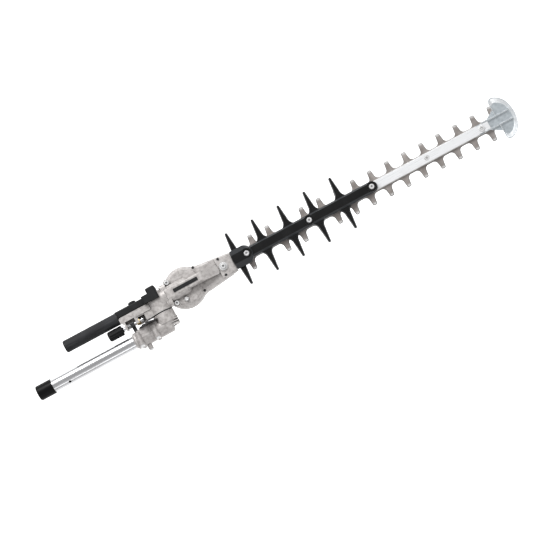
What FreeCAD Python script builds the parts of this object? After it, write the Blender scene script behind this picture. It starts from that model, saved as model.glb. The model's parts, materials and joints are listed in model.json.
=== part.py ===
import FreeCAD, Part
import math
import os

# Articulating hedge trimmer attachment for a pole machine, in millimetres.
# X runs along the pole and the cutter bar toward the tip, Z is normal to the blades.
# The origin is the centre of the open end of the pole tube. The head tilts about a
# line along Y through PIVOT_X.

V = FreeCAD.Vector
X_AXIS = V(1, 0, 0)
Y_AXIS = V(0, 1, 0)
Z_AXIS = V(0, 0, 1)

# --- driving dimensions: pole side ---
TUBE_R = 12.0
TUBE_WALL = 1.5
TUBE_END_X = 232.0
SHAFT_R = 4.0
INDEX_HOLE_X = 58.3
INSERTION_MARK_X = 52.0
CAP_R = 14.0
CAP_MOUTH_X = 27.0
CAP_END_X = -3.5

PIVOT_X = 261.4
HUB_R = 19.7
JOINT_FACE_Y = 21.6
SPIGOT_R = 13.0
SPIGOT_END_Y = 34.8
BARREL_R = 15.8
CASE_REAR_X = 191.6
CASE_FRONT_X = 268.6
PAD_FACE_Y = 14.4
HUB_RIB_Y = (-6.4, -2.2, 2.0, 6.2)

# --- driving dimensions: tilt lock ---
SECTOR_R = 51.5
SECTOR_Y = 14.6
SECTOR_THICK = 2.5
NOTCH_DEPTH = 5.0
NOTCH_WIDTH = 6.6
TILT_LOW = -90
TILT_HIGH = 45
TILT_STEP = 15
LATCH_Y = 29.0
LATCH_Z = 4.0
LATCH_ROD_R = 3.5
PAWL_GAP = 0.4
KNOB_REAR_X = 155.2
KNOB_LENGTH = 30.4
KNOB_BORE_DEPTH = 8.0
LATCH_ROD_END_X = 226.0

# --- driving dimensions: head ---
BLADE_Y = 47.0
CRANK_X = 317.0
BULGE_R = 39.0
CASE_NOSE_X = 417.0
CASE_NOSE_HALF = 19.5
HEAD_JOINT_X = 281.2
PARTING_Z = -21.0
HUB_CASE_Y = 24.2
HUB_CASE_R = 19.0
HUMP_R = 15.6
SPINE_WIDTH = 17.6
SPINE_TOP_Z = 14.2
DOME_TOP_Z = -0.5
SPINE_END_X = 386.0
SPINE_SLOPE_X = 353.0
SPINE_SLOPE = 31.0
BOLT_ONE_X = 444.0
BOLT_PITCH = 127.3

# --- driving dimensions: blades and bar ---
TOOTH_PITCH = 35.0
TOOTH_COUNT = 15
UPPER_SIDE_TOOTH_X = 462.8
LOWER_SIDE_TOOTH_X = 445.3
TOOTH_TIP_Y = 30.5
TOOTH_TIP_HALF = 3.9
TOOTH_CORNER = 1.6
BLADE_GRIND = 1.2
SPINE_HALF = 11.2
BLADE_THICK = 2.2
UPPER_BLADE_Z = -20.9
LOWER_BLADE_Z = -23.3
STROKE = 17.5
BAR_HALF = 9.2
BAR_BOTTOM_Z = -18.5
BAR_TOP_Z = -13.5
BAR_END_X = 938.0
STRIP_TOP_Z = -23.5
STRIP_THICK = 3.0
FIN_PITCH = 53.0
FIN_COUNT = 5
FIRST_FIN_X = 427.0
FIN_TIP_Y = 52.0

# --- driving dimensions: gears ---
MITRE_TEETH = 24
MITRE_R = 10.0
LAY_TEETH = 9
LAY_R = 9.0
CROWN_TEETH = 27
CROWN_R = 27.0
ROD_LENGTH = 55.0
CRANK_ROOM_R = 29.0
ECCENTRIC_R = 15.5
CRANK_SHAFT_R = 6.0
RUNNING_FIT = 0.03
ECCENTRICITY = STROKE / 2


# --- shape helpers ---
def box(x0, x1, y0, y1, z0, z1):
    return Part.makeBox(x1 - x0, y1 - y0, z1 - z0, V(x0, y0, z0))


def rod(axis, start, length, radius):
    return Part.makeCylinder(radius, length, start, axis)


def ring(axis, start, length, outer, inner):
    return rod(axis, start, length, outer).cut(rod(axis, start, length, inner))


def prism(points, z0, z1):
    wire = Part.makePolygon([V(x, y, z0) for x, y in points + points[:1]])
    return Part.Face(wire).extrude(V(0, 0, z1 - z0))


def fuse(*shapes):
    return shapes[0].multiFuse(list(shapes[1:])).removeSplitter()


def both_sides(shape, y=BLADE_Y):
    return [shape, shape.mirror(V(0, y, 0), Y_AXIS)]


def edges_along(shape, axis):
    picked = []
    for edge in shape.Edges:
        if edge.Curve.TypeId == "Part::GeomLine":
            start, end = edge.firstVertex().Point, edge.lastVertex().Point
            if abs((end - start).normalize().dot(axis)) > 0.999:
                picked.append(edge)
    return picked


def round_edges(shape, axis, radius, keep=lambda centre: True):
    edges = [e for e in edges_along(shape, axis) if keep(e.CenterOfMass)]
    return shape.makeFillet(radius, edges)


def end_circles(shape, axis, position):
    return [e for e in shape.Edges if e.Curve.TypeId == "Part::GeomCircle"
            and abs(e.CenterOfMass.dot(axis) - position) < 0.01]


def socket_screw(top, axis, head_r, head_h, shank_r, shank_h):
    """Cap screw whose head starts at top and stands along axis, with a hexagon socket."""
    head = rod(axis, top, head_h, head_r)
    head = head.makeChamfer(head_r * 0.12, end_circles(head, axis, (top + axis * head_h).dot(axis)))
    shank = rod(axis, top - axis * shank_h, shank_h, shank_r)
    side = V(axis.y, axis.z, axis.x)
    turn = FreeCAD.Rotation(axis, 60)
    corner = side * (head_r * 0.5)
    points = []
    for _ in range(7):
        points.append(top + axis * (head_h * 0.35) + corner)
        corner = turn.multVec(corner)
    socket = Part.Face(Part.makePolygon(points)).extrude(axis * head_h)
    return head.fuse(shank).cut(socket).removeSplitter()


def save(name, *shapes):
    shape = shapes[0] if len(shapes) == 1 else Part.makeCompound(list(shapes))
    shape.exportStep("parts/" + name + ".step")


# --- gears ---
def bevel_gear(teeth, pitch_r, mate_r, face, bore_r, hub_len, gap_first):
    """Bevel gear on the Z axis below its apex at the origin, a tooth or a gap toward +X."""
    module = 2 * pitch_r / teeth
    slant = math.hypot(pitch_r, mate_r)
    taper = 1 - face / slant
    addendum, dedendum = 0.7 * module, 1.0 * module
    normal = (mate_r / slant, pitch_r / slant)
    root = (pitch_r - dedendum * normal[0], -mate_r - dedendum * normal[1])
    tip = (pitch_r + addendum * normal[0], -mate_r + addendum * normal[1])
    hub_r = max(root[0] * 0.8, bore_r + 1.5)
    hub_z = root[1] - hub_len
    outline = [(bore_r, hub_z), (hub_r, hub_z), (hub_r, root[1] - 0.5), (root[0], root[1]),
               (root[0] * taper, root[1] * taper), (bore_r, root[1] * taper)]
    wire = Part.makePolygon([V(r, 0, z) for r, z in outline + outline[:1]])
    body = Part.Face(wire).revolve(V(0, 0, 0), Z_AXIS, 360)

    half = 0.19 * math.pi * module
    base_half = half + 1.2 * dedendum * math.tan(math.radians(20))
    tip_half = half - addendum * math.tan(math.radians(20))
    sunk = (root[0] - 0.2 * module * normal[0], root[1] - 0.2 * module * normal[1])

    def section(scale):
        corners = [(sunk, -base_half), (sunk, base_half), (tip, tip_half), (tip, -tip_half)]
        points = [V(p[0] * scale, t * scale, p[1] * scale) for p, t in corners]
        return Part.makePolygon(points + points[:1])

    tooth = Part.makeLoft([section(1.0), section(taper)], True, True)
    step = 360.0 / teeth
    first = step / 2 if gap_first else 0.0
    ring_of_teeth = []
    for index in range(teeth):
        copy = tooth.copy()
        copy.rotate(V(0, 0, 0), Z_AXIS, first + index * step)
        ring_of_teeth.append(copy)
    return body.multiFuse(ring_of_teeth)


def set_gear(gear, apex, contact, toward_apex):
    """Put the gear's apex at a point, its first tooth toward contact, its axis toward_apex."""
    side = toward_apex.cross(contact)
    gear.Placement = FreeCAD.Placement(apex, FreeCAD.Rotation(contact, side, toward_apex, "ZXY"))
    return gear


POLE_APEX = V(PIVOT_X, 0, 0)
HEAD_APEX = V(PIVOT_X, BLADE_Y, 0)
CROWN_APEX = V(CRANK_X, BLADE_Y, 0)


def input_pinion():
    gear = bevel_gear(MITRE_TEETH, MITRE_R, MITRE_R, 4.5, SHAFT_R, 5.0, False)
    return set_gear(gear, POLE_APEX, Y_AXIS, X_AXIS)


def pivot_gear_pole():
    gear = bevel_gear(MITRE_TEETH, MITRE_R, MITRE_R, 4.5, 4.5, 3.5, True)
    return set_gear(gear, POLE_APEX, -X_AXIS, -Y_AXIS)


def pivot_gear_head():
    gear = bevel_gear(MITRE_TEETH, MITRE_R, MITRE_R, 4.5, 4.5, 3.0, False)
    return set_gear(gear, HEAD_APEX, X_AXIS, Y_AXIS)


def lay_gear():
    gear = bevel_gear(MITRE_TEETH, MITRE_R, MITRE_R, 4.5, 4.5, 2.5, True)
    return set_gear(gear, HEAD_APEX, -Y_AXIS, -X_AXIS)


def lay_pinion():
    gear = bevel_gear(LAY_TEETH, LAY_R, CROWN_R, 7.0, 4.5, 1.0, False)
    return set_gear(gear, CROWN_APEX, -Z_AXIS, X_AXIS)


def crank_gear():
    """Crown gear, crank shaft and the two eccentrics, forged and cut as one piece."""
    crown = bevel_gear(CROWN_TEETH, CROWN_R, LAY_R, 7.0, 6.0, 2.2, True)
    crown = set_gear(crown, CROWN_APEX, -X_AXIS, Z_AXIS)
    centre = V(CRANK_X, BLADE_Y, 0)
    shaft = rod(Z_AXIS, centre + V(0, 0, -31.5), 34.0, CRANK_SHAFT_R)
    web = rod(Z_AXIS, centre + V(0, 0, -14.7), 5.0, 20.0)
    upper = rod(Z_AXIS, centre + V(-ECCENTRICITY, 0, -18.1), 3.3, ECCENTRIC_R)
    lower = rod(Z_AXIS, centre + V(ECCENTRICITY, 0, -27.6), 3.4, ECCENTRIC_R)
    return crown.multiFuse([shaft, web, upper, lower])


def connecting_rod(side, z0):
    """Rod with a ring on its eccentric; side is -1 for the rear and 1 for the front throw."""
    big = V(CRANK_X + side * ECCENTRICITY, BLADE_Y, z0)
    small = big + V(ROD_LENGTH, 0, 0)
    beam = box(big.x + 10, small.x, BLADE_Y - 5, BLADE_Y + 5, z0, z0 + 3)
    body = fuse(rod(Z_AXIS, big, 3, ECCENTRIC_R + 3.5), rod(Z_AXIS, small, 3, 7.0), beam)
    window = box(big.x + 23, small.x - 10, BLADE_Y - 2, BLADE_Y + 2, z0 - 1, z0 + 4)
    window = round_edges(window, Z_AXIS, 1.9)
    return body.cut(rod(Z_AXIS, big, 3, ECCENTRIC_R + 0.05)).cut(rod(Z_AXIS, small, 3, 4.0)).cut(window)


# --- pole side ---
def pole_tube():
    body = ring(X_AXIS, V(0, 0, 0), TUBE_END_X, TUBE_R, TUBE_R - TUBE_WALL)
    down = V(0, -1, 1).normalize()
    hole = rod(down, V(INDEX_HOLE_X, 0, 0), 20, 2.5)
    mark = ring(X_AXIS, V(INSERTION_MARK_X, 0, 0), 0.8, TUBE_R + 1, TUBE_R - 0.3)
    return body.cut(hole).cut(mark)


def shaft_bush(x):
    return ring(X_AXIS, V(x, 0, 0), 18.0, TUBE_R - TUBE_WALL, SHAFT_R + 0.05)


def drive_shaft():
    shaft = rod(X_AXIS, V(3, 0, 0), 247.0, SHAFT_R)
    half = 2.8
    square = box(2, 26, -half, half, -half, half)
    return shaft.cut(box(2, 26, -9, 9, -9, 9).cut(square))


def end_cap():
    outer = rod(X_AXIS, V(CAP_END_X, 0, 0), CAP_MOUTH_X - CAP_END_X, CAP_R)
    outer = outer.makeFillet(3.0, end_circles(outer, X_AXIS, CAP_END_X))
    return outer.cut(rod(X_AXIS, V(-0.6, 0, 0), 40, TUBE_R + 0.04))


def pole_case():
    """Outer casting of the pole gear case with its cavities, before it is split."""
    barrel = rod(X_AXIS, V(CASE_REAR_X, 0, 0), CASE_FRONT_X - CASE_REAR_X, BARREL_R)
    barrel = barrel.makeChamfer(4.5, end_circles(barrel, X_AXIS, CASE_REAR_X))
    barrel = barrel.makeFillet(5.0, end_circles(barrel, X_AXIS, CASE_FRONT_X))
    pad = box(203, 246, -3, PAD_FACE_Y, -15.5, 15.5)
    pad = round_edges(pad, Y_AXIS, 5.0)
    hub = rod(Y_AXIS, V(PIVOT_X, -3.0, 0), JOINT_FACE_Y + 3.0, HUB_R)
    hub = hub.makeChamfer(6.0, end_circles(hub, Y_AXIS, -3.0))
    flange = rod(Y_AXIS, V(PIVOT_X, JOINT_FACE_Y - 4.0, 0), 4.0, HUB_R)
    spigot = rod(Y_AXIS, V(PIVOT_X, JOINT_FACE_Y - 1, 0), SPIGOT_END_Y - JOINT_FACE_Y + 1, SPIGOT_R)
    lug = rod(Y_AXIS, V(214, -24.8, 0), 14, 4.6)
    lug = lug.makeFillet(1.0, end_circles(lug, Y_AXIS, -24.8))
    bosses = [rod(Y_AXIS, V(x, -13.0, z), 23.0, 4.8) for x, z in CASE_SCREW_SPOTS]
    rib_low = box(199, 250, -14.9, -8, -2.0, 2.0)
    below_pad_face = box(150, 320, -60, PAD_FACE_Y, -60, 60)
    body = fuse(barrel, pad, lug, rib_low, *bosses).common(below_pad_face)
    rib_room = box(PIVOT_X + 6, PIVOT_X + 40, -20, 20, -13, 13)
    ribs = [ring(Y_AXIS, V(PIVOT_X, y, 0), 1.8, HUB_R + 1.2, 12.0).common(rib_room) for y in HUB_RIB_Y]
    body = fuse(body, hub, flange, spigot, *ribs)
    groove = ring(Y_AXIS, V(PIVOT_X, SPIGOT_END_Y - 2.0, 0), 1.2, SPIGOT_R + 2, SPIGOT_R - 1.0)
    cavities = fuse(
        rod(X_AXIS, V(CASE_REAR_X - 1, 0, 0), TUBE_END_X - CASE_REAR_X + 1.4, TUBE_R + 0.02),
        rod(X_AXIS, V(TUBE_END_X, 0, 0), 9.4, 11.0),
        rod(X_AXIS, V(TUBE_END_X + 9, 0, 0), 21.0, 12.2),
        rod(Y_AXIS, V(PIVOT_X, 4.5, 0), 11.0, 13.0),
        rod(Y_AXIS, V(PIVOT_X, 15.0, 0), 25.0, 10.5))
    return body.cut(cavities).cut(groove)


CASE_SCREW_SPOTS = [(204.0, 16.2), (204.0, -16.2), (235.0, 15.6), (235.0, -15.6)]


def split_pole_case():
    whole = pole_case()
    for spot_x, spot_z in CASE_SCREW_SPOTS:
        whole = whole.cut(rod(Y_AXIS, V(spot_x, -20, spot_z), 26.5, 2.55))
    whole = whole.cut(rod(Y_AXIS, V(214, -30, 0), 21, 2.55))
    for z in (-9.0, 9.0):
        whole = whole.cut(rod(Y_AXIS, V(222, 12.6, z), 3, 2.05))
    left = whole.common(box(150, 320, 0, 60, -60, 60))
    right = whole.common(box(150, 320, -60, 0, -60, 60))
    return left, right


def case_screws():
    return [socket_screw(V(x, -13.0, z), -Y_AXIS, 4.2, 3.4, 2.5, 19.0) for x, z in CASE_SCREW_SPOTS]


def locating_screw():
    return socket_screw(V(214, -24.8, 0), -Y_AXIS, 4.2, 2.6, 2.5, 12.4)


def index_sector():
    """Notched quadrant on the pole case; its notches are one tilt step apart."""
    start = V(PIVOT_X, SECTOR_Y, 0)
    plate = ring(Y_AXIS, start, SECTOR_THICK, SECTOR_R, HUB_R + 0.4)
    upper_end = math.radians(TILT_HIGH + 7.5)
    lower_end = math.radians(-TILT_LOW + 6.0)
    reach = 2 * SECTOR_R
    corners = [(0, 0), (-math.cos(upper_end) * reach, math.sin(upper_end) * reach), (-reach, reach),
               (-reach, -reach), (-math.cos(lower_end) * reach, -math.sin(lower_end) * reach)]
    wire = Part.makePolygon([V(PIVOT_X + x, SECTOR_Y - 1, z) for x, z in corners + corners[:1]])
    plate = plate.common(Part.Face(wire).extrude(V(0, SECTOR_THICK + 2, 0)))
    for angle in range(TILT_LOW, TILT_HIGH + 1, TILT_STEP):
        notch = box(PIVOT_X - SECTOR_R - 2, PIVOT_X - SECTOR_R + NOTCH_DEPTH,
                    SECTOR_Y - 1, SECTOR_Y + SECTOR_THICK + 1, -NOTCH_WIDTH / 2, NOTCH_WIDTH / 2)
        notch.rotate(start, Y_AXIS, angle)
        plate = plate.cut(notch)
    for z in (-9.0, 9.0):
        plate = plate.cut(rod(Y_AXIS, V(222, 10, z), 10, 2.1))
        plate = plate.cut(Part.makeCone(2.1, 4.1, 2.0, V(222, SECTOR_Y + SECTOR_THICK - 2.0, z), Y_AXIS))
    return plate


def sector_screw(z):
    top = SECTOR_Y + SECTOR_THICK
    head = Part.makeCone(2.0, 4.0, 2.0, V(222, top - 2.0, z), Y_AXIS)
    shank = rod(Y_AXIS, V(222, 12.8, z), top - 2.0 - 12.8, 2.0)
    slot = box(218.5, 225.5, top - 0.7, top + 1, z - 0.5, z + 0.5)
    return head.fuse(shank).cut(slot)


def bearing(axis, start, width, outer, inner):
    """Sealed ball bearing: two races with a shield between them, as one solid."""
    middle = (outer + inner) / 2
    race = ring(axis, start, width, outer, inner + RUNNING_FIT)
    groove = ring(axis, start, 0.6, middle + (outer - inner) * 0.22, middle - (outer - inner) * 0.22)
    far = groove.translated(axis * (width - 0.6))
    return race.cut(groove).cut(far)


def retaining_ring():
    start = V(PIVOT_X, SPIGOT_END_Y - 1.95, 0)
    body = ring(Y_AXIS, start, 1.1, SPIGOT_R + 1.4, SPIGOT_R - 0.95)
    gap = box(PIVOT_X, PIVOT_X + 20, start.y - 1, start.y + 3, -2.5, 2.5)
    return body.cut(gap)


# --- head: gear case and arm ---
def case_outline(inset, z):
    """Outline of the head case at one height: bulge, blend to the tail and square nose."""
    radius = BULGE_R - inset
    centre = V(CRANK_X, BLADE_Y, z)

    def on_bulge(degrees):
        a = math.radians(degrees)
        return centre + V(radius * math.cos(a), radius * math.sin(a), 0)

    blend_start = 58
    tail = V(356.0 - 0.2 * inset, BLADE_Y + 26.6 - inset, z)
    mid = V(345.2 - 0.3 * inset, BLADE_Y + 28.8 - 0.85 * inset, z)
    nose = V(CASE_NOSE_X - 0.3 * inset, BLADE_Y + CASE_NOSE_HALF - inset, z)

    def mirrored(p):
        return V(p.x, 2 * BLADE_Y - p.y, p.z)

    edges = [
        Part.Arc(on_bulge(blend_start), on_bulge(180), on_bulge(-blend_start)).toShape(),
        Part.Arc(mirrored(on_bulge(blend_start)), mirrored(mid), mirrored(tail)).toShape(),
        Part.makeLine(mirrored(tail), mirrored(nose)),
        Part.makeLine(mirrored(nose), nose),
        Part.makeLine(nose, tail),
        Part.Arc(tail, mid, on_bulge(blend_start)).toShape()]
    return Part.Wire(edges)


def case_layer(inset_low, z_low, inset_high, z_high):
    wires = [case_outline(inset_low, z_low), case_outline(inset_high, z_high)]
    return Part.makeLoft(wires, True, True)


CASE_CUT_REAR = box(180, HEAD_JOINT_X, -40, 140, -80, 80)
SMALL_SCREWS = [(346.4, 23.3, -5.2), (393.0, 16.1, -8.0)]
REAR_BOSS = (292.2, 20.6)
NIPPLE_SPOT = (311.0, BLADE_Y - 22.5)
NIPPLE_HEAD_R = 3.25
NIPPLE_HEAD_LENGTH = 2.4
NIPPLE_HEAD_Z = DOME_TOP_Z + 5.0


def head_case_upper():
    skirt = case_layer(0.0, PARTING_Z, 1.5, -12.0)
    shoulder = case_layer(1.5, -12.0, 7.0, -4.0)
    tail_cut = box(379, 430, 0, 100, -8.0, 40)
    ramp = box(352, 386, 0, 100, -8.2, 10)
    ramp.rotate(V(379, BLADE_Y, -8.0), Y_AXIS, 15)
    deck = fuse(skirt, shoulder).cut(fuse(tail_cut, ramp))
    dome = Part.makeCone(BULGE_R - 1.5, BULGE_R - 7.5, DOME_TOP_Z + 12.0, V(CRANK_X, BLADE_Y, -12.0), Z_AXIS)
    dome = dome.makeFillet(2.5, end_circles(dome, Z_AXIS, DOME_TOP_Z))
    hump = rod(X_AXIS, V(HEAD_JOINT_X, BLADE_Y, 0), 48.0, HUMP_R)
    hump = hump.makeFillet(11.0, end_circles(hump, X_AXIS, HEAD_JOINT_X + 48.0))
    hump = hump.common(box(270, 400, 0, 100, -10, SPINE_TOP_Z - 0.6))
    spine = box(300, SPINE_END_X, BLADE_Y - SPINE_WIDTH / 2, BLADE_Y + SPINE_WIDTH / 2, -10, SPINE_TOP_Z)
    spine = round_edges(spine, Z_AXIS, 5.0, lambda c: c.x > 380)
    spine = spine.makeFillet(2.5, [e for e in spine.Edges if e.CenterOfMass.z > SPINE_TOP_Z - 0.1])
    slope = box(SPINE_SLOPE_X, 430, 0, 100, SPINE_TOP_Z, SPINE_TOP_Z + 50)
    slope.rotate(V(SPINE_SLOPE_X, BLADE_Y, SPINE_TOP_Z), Y_AXIS, SPINE_SLOPE)
    spine = spine.cut(slope)
    flange = box(HEAD_JOINT_X, 287.5, BLADE_Y - 21, BLADE_Y + 21, -19, 12)
    flange = round_edges(flange, X_AXIS, 6.0)
    boss_x, boss_y = REAR_BOSS
    boss = rod(Z_AXIS, V(boss_x, BLADE_Y + boss_y, -15), 16, 6.5)
    clamp_boss = rod(Z_AXIS, V(CLAMP_BOLT_X, BLADE_Y, -12), 5.0, 9.0)
    screw_bosses = [rod(Z_AXIS, V(x, BLADE_Y + y, -14), top + 14 + 0.6, 3.4) for x, y, top in SMALL_SCREWS]
    lumps = [piece for boss_part in [boss] + screw_bosses for piece in both_sides(boss_part)]
    body = fuse(deck, dome, hump, spine, flange, clamp_boss, *lumps).cut(CASE_CUT_REAR)
    crank_room = rod(Z_AXIS, V(CRANK_X, BLADE_Y, PARTING_Z - 1), 18.0, CRANK_ROOM_R)
    rod_room = prism([(330, BLADE_Y - 23), (330, BLADE_Y + 23), (389, BLADE_Y + 16.5),
                      (389, BLADE_Y - 16.5)], PARTING_Z - 1, -12.5)
    lay_bore = rod(X_AXIS, V(HEAD_JOINT_X - 1, BLADE_Y, 0), 6.0, 11.0)
    pinion_room = rod(X_AXIS, V(HEAD_JOINT_X + 4.5, BLADE_Y, 0), 16.5, 11.6)
    bearing_seat = rod(Z_AXIS, V(CRANK_X, BLADE_Y, -5), 9.0, 11.0)
    bar_slot = box(385, 430, BLADE_Y - BAR_HALF - 2.4, BLADE_Y + BAR_HALF + 2.4, PARTING_Z - 1, BAR_TOP_Z)
    lip = box(407, 430, 0, 100, PARTING_Z - 1, -17.6)
    body = body.cut(fuse(crank_room, rod_room, lay_bore, pinion_room, bearing_seat, bar_slot, lip))
    for x, y, top in SMALL_SCREWS:
        for side in (-1, 1):
            body = body.cut(rod(Z_AXIS, V(x, BLADE_Y + side * y, -40), 60, 2.05))
            body = body.cut(rod(Z_AXIS, V(x, BLADE_Y + side * y, top - 2.0), 6, 2.7))
    for side in (-1, 1):
        body = body.cut(rod(Z_AXIS, V(boss_x, BLADE_Y + side * boss_y, -40), 60, 2.55))
    for y, z in HUB_BOLT_SPOTS:
        body = body.cut(rod(X_AXIS, V(HEAD_JOINT_X - 1, BLADE_Y + y, z), 6.5, 2.05))
    return body.cut(rod(Z_AXIS, V(CLAMP_BOLT_X, BLADE_Y, -40), 60, 4.05))


def head_case_lower():
    rim = case_layer(2.0, -27.0, 0.0, PARTING_Z)
    pan = case_layer(8.5, -34.5, 2.0, -27.0)
    body = fuse(pan, rim).cut(CASE_CUT_REAR).cut(box(407, 430, 0, 100, -40, PARTING_Z + 1))
    crank_room = rod(Z_AXIS, V(CRANK_X, BLADE_Y, -29.0), 20.0, CRANK_ROOM_R)
    rod_room = prism([(330, BLADE_Y - 20.5), (330, BLADE_Y + 20.5), (389, BLADE_Y + 14.5),
                      (389, BLADE_Y - 14.5)], -29.0, PARTING_Z + 1)
    seat = rod(Z_AXIS, V(CRANK_X, BLADE_Y, -33.5), 20, 13.0)
    strip_slot = box(385, 430, BLADE_Y - BAR_HALF - 2.4, BLADE_Y + BAR_HALF + 2.4,
                     STRIP_TOP_Z - STRIP_THICK, PARTING_Z + 1)
    body = body.cut(fuse(crank_room, rod_room, seat, strip_slot))
    for x, y, _ in SMALL_SCREWS:
        for side in (-1, 1):
            body = body.cut(rod(Z_AXIS, V(x, BLADE_Y + side * y, -30.0), 20, 2.05))
    boss_x, boss_y = REAR_BOSS
    for side in (-1, 1):
        body = body.cut(rod(Z_AXIS, V(boss_x, BLADE_Y + side * boss_y, -28.0), 20, 2.55))
    return body.cut(rod(Z_AXIS, V(CLAMP_BOLT_X, BLADE_Y, -40), 60, 4.05))


HUB_BOLT_SPOTS = [(17.6, 6.0), (17.6, -13.0)]


def hub_case():
    """Casting that turns on the pole spigot, with the arm that carries latch and handle."""
    hub = rod(Y_AXIS, V(PIVOT_X, HUB_CASE_Y, 0), 38.0, HUB_CASE_R)
    hub = hub.makeFillet(2.5, end_circles(hub, Y_AXIS, HUB_CASE_Y + 38.0))
    neck = rod(X_AXIS, V(PIVOT_X, BLADE_Y, 0), HEAD_JOINT_X - PIVOT_X, 16.5)
    flange = box(HEAD_JOINT_X - 4.2, HEAD_JOINT_X, BLADE_Y - 21, BLADE_Y + 21, -19, 12)
    flange = round_edges(flange, X_AXIS, 6.0)
    arm = box(186, 252, 38.8, 49.7, -11, 11)
    arm = round_edges(arm, Z_AXIS, 3.5, lambda c: c.x < 190)
    block = box(212, 252, HUB_CASE_Y, 40, -11, 11)
    block = round_edges(block, Z_AXIS, 2.5, lambda c: c.x < 213 and c.y < 30)
    shelf = box(190.5, 214, 31.5, 40, -11, -2.8)
    wall = box(190.5, 193.7, 23.5, 40, -11, 11)
    wall = round_edges(wall, X_AXIS, 4.0, lambda c: c.y < 24)
    rib = box(214, 246, 38, 47, 10.9, 12.6)
    rib = round_edges(rib, Z_AXIS, 2.0)
    body = fuse(hub, neck, flange, arm, block, shelf, wall, rib)
    clip_room = box(217.6, 231.0, 20, 35.9, -3.0, 14)
    bush_relief = box(211, 218, 20, 26.6, -4.0, 14)
    cuts = fuse(
        rod(Y_AXIS, V(PIVOT_X, HUB_CASE_Y - 1, 0), 9.8, SPIGOT_R + 0.04),
        rod(Y_AXIS, V(PIVOT_X, HUB_CASE_Y + 8.5, 0), 25.0, 14.8),
        rod(X_AXIS, V(PIVOT_X, BLADE_Y, 0), 30, 12.2),
        rod(X_AXIS, V(180, LATCH_Y, LATCH_Z), 20, LATCH_ROD_R + 0.05),
        rod(X_AXIS, V(211, LATCH_Y, LATCH_Z), 12, 5.5),
        rod(Y_AXIS, V(220, 38, 0), 14, 3.05),
        rod(Y_AXIS, V(PIVOT_X, 57, 0), 8, 3.05),
        clip_room, bush_relief)
    body = body.cut(cuts)
    for y, z in HUB_BOLT_SPOTS:
        body = body.cut(rod(X_AXIS, V(HEAD_JOINT_X - 6, BLADE_Y + y, z), 8, 2.1))
        body = body.cut(rod(X_AXIS, V(HEAD_JOINT_X - 12, BLADE_Y + y, z), 7.8, 3.7))
    return body


def hub_bolts():
    return [socket_screw(V(HEAD_JOINT_X - 4.2, BLADE_Y + y, z), -X_AXIS, 3.4, 2.6, 2.0, 9.0)
            for y, z in HUB_BOLT_SPOTS]


def small_case_screws():
    return [socket_screw(V(x, BLADE_Y + side * y, top - 2.0), Z_AXIS, 2.6, 2.0, 2.0, 19.5)
            for x, y, top in SMALL_SCREWS for side in (-1, 1)]


def rear_case_bolts():
    boss_x, boss_y = REAR_BOSS
    return [socket_screw(V(boss_x, BLADE_Y + side * boss_y, 1.0), Z_AXIS, 4.4, 3.6, 2.5, 28.0)
            for side in (-1, 1)]


def clamp_bolt():
    bolt = socket_screw(V(CLAMP_BOLT_X, BLADE_Y, -5.6), Z_AXIS, 4.6, 3.8, 4.0, 24.0)
    washer = ring(Z_AXIS, V(CLAMP_BOLT_X, BLADE_Y, -7.0), 1.4, 7.4, 4.05)
    return bolt, washer


def name_plate():
    plate = box(297, 345.5, BLADE_Y - 3.4, BLADE_Y + 3.4, SPINE_TOP_Z, SPINE_TOP_Z + 0.8)
    return round_edges(plate, Z_AXIS, 1.0)


def grease_nipple():
    x, y = NIPPLE_SPOT
    turns = [math.radians(angle) for angle in range(0, 360, 60)]
    corners = [(x + 4.4 * math.cos(turn), y + 4.4 * math.sin(turn)) for turn in turns]
    base = prism(corners, DOME_TOP_Z, DOME_TOP_Z + 3.4)
    neck = rod(Z_AXIS, V(x, y, DOME_TOP_Z + 3.4), 1.6, 2.1)
    head = rod(Z_AXIS, V(x, y, NIPPLE_HEAD_Z), NIPPLE_HEAD_LENGTH, NIPPLE_HEAD_R)
    tip = Part.makeCone(NIPPLE_HEAD_R, 1.5, 1.4, V(x, y, NIPPLE_HEAD_Z + NIPPLE_HEAD_LENGTH))
    return fuse(base, neck, head, tip)


# --- head: handle and latch ---
def handle_bracket():
    """Strap from the hub's end along the arm to the spigot that carries the grip."""
    strap = box(184.3, 245, 50.0, 63.7, -8, 8)
    strap = round_edges(strap, X_AXIS, 2.5)
    saddle = box(240, 270.4, 50.0, 63.7, 4, 24)
    saddle = round_edges(saddle, Y_AXIS, 4.0, lambda c: c.z > 20)
    block = box(252.6, 270.4, 48.6, 73.5, -8, 24)
    block = round_edges(block, Y_AXIS, 4.0)
    block = round_edges(block, Z_AXIS, 3.0, lambda c: c.y > 73)
    disc = rod(X_AXIS, V(184.3, 51.8, 0), 1.4, 11.5)
    spigot = rod(X_AXIS, V(92, 51.8, 0), 93, 7.0)
    bump = rod(Y_AXIS, V(220, 63.6, 0), 3.6, 7.2)
    body = fuse(strap, saddle, block, disc, spigot, bump)
    hub = rod(Y_AXIS, V(PIVOT_X, 20, 0), HUB_CASE_Y + 38.0 + 0.05 - 20, HUB_CASE_R + 0.1)
    arm = box(185.9, 252, 30, 49.75, -12, 12)
    bolt_hole = rod(Y_AXIS, V(220, 45, 0), 30, 3.05)
    end_hole = rod(Y_AXIS, V(PIVOT_X, 55, 0), 30, 3.05)
    rib_room = box(245, 252, 40, 50.2, 10, 13)
    neck_room = rod(X_AXIS, V(PIVOT_X, BLADE_Y, 0), 20, 16.6)
    return body.cut(fuse(hub, arm, bolt_hole, end_hole, rib_room, neck_room))


def handle_bolts():
    side = socket_screw(V(220, 67.2, 0), Y_AXIS, 5.0, 1.6, 3.0, 26.0)
    end = socket_screw(V(PIVOT_X, 73.5, 0), Y_AXIS, 5.0, 3.0, 3.0, 15.0)
    return side, end


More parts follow.
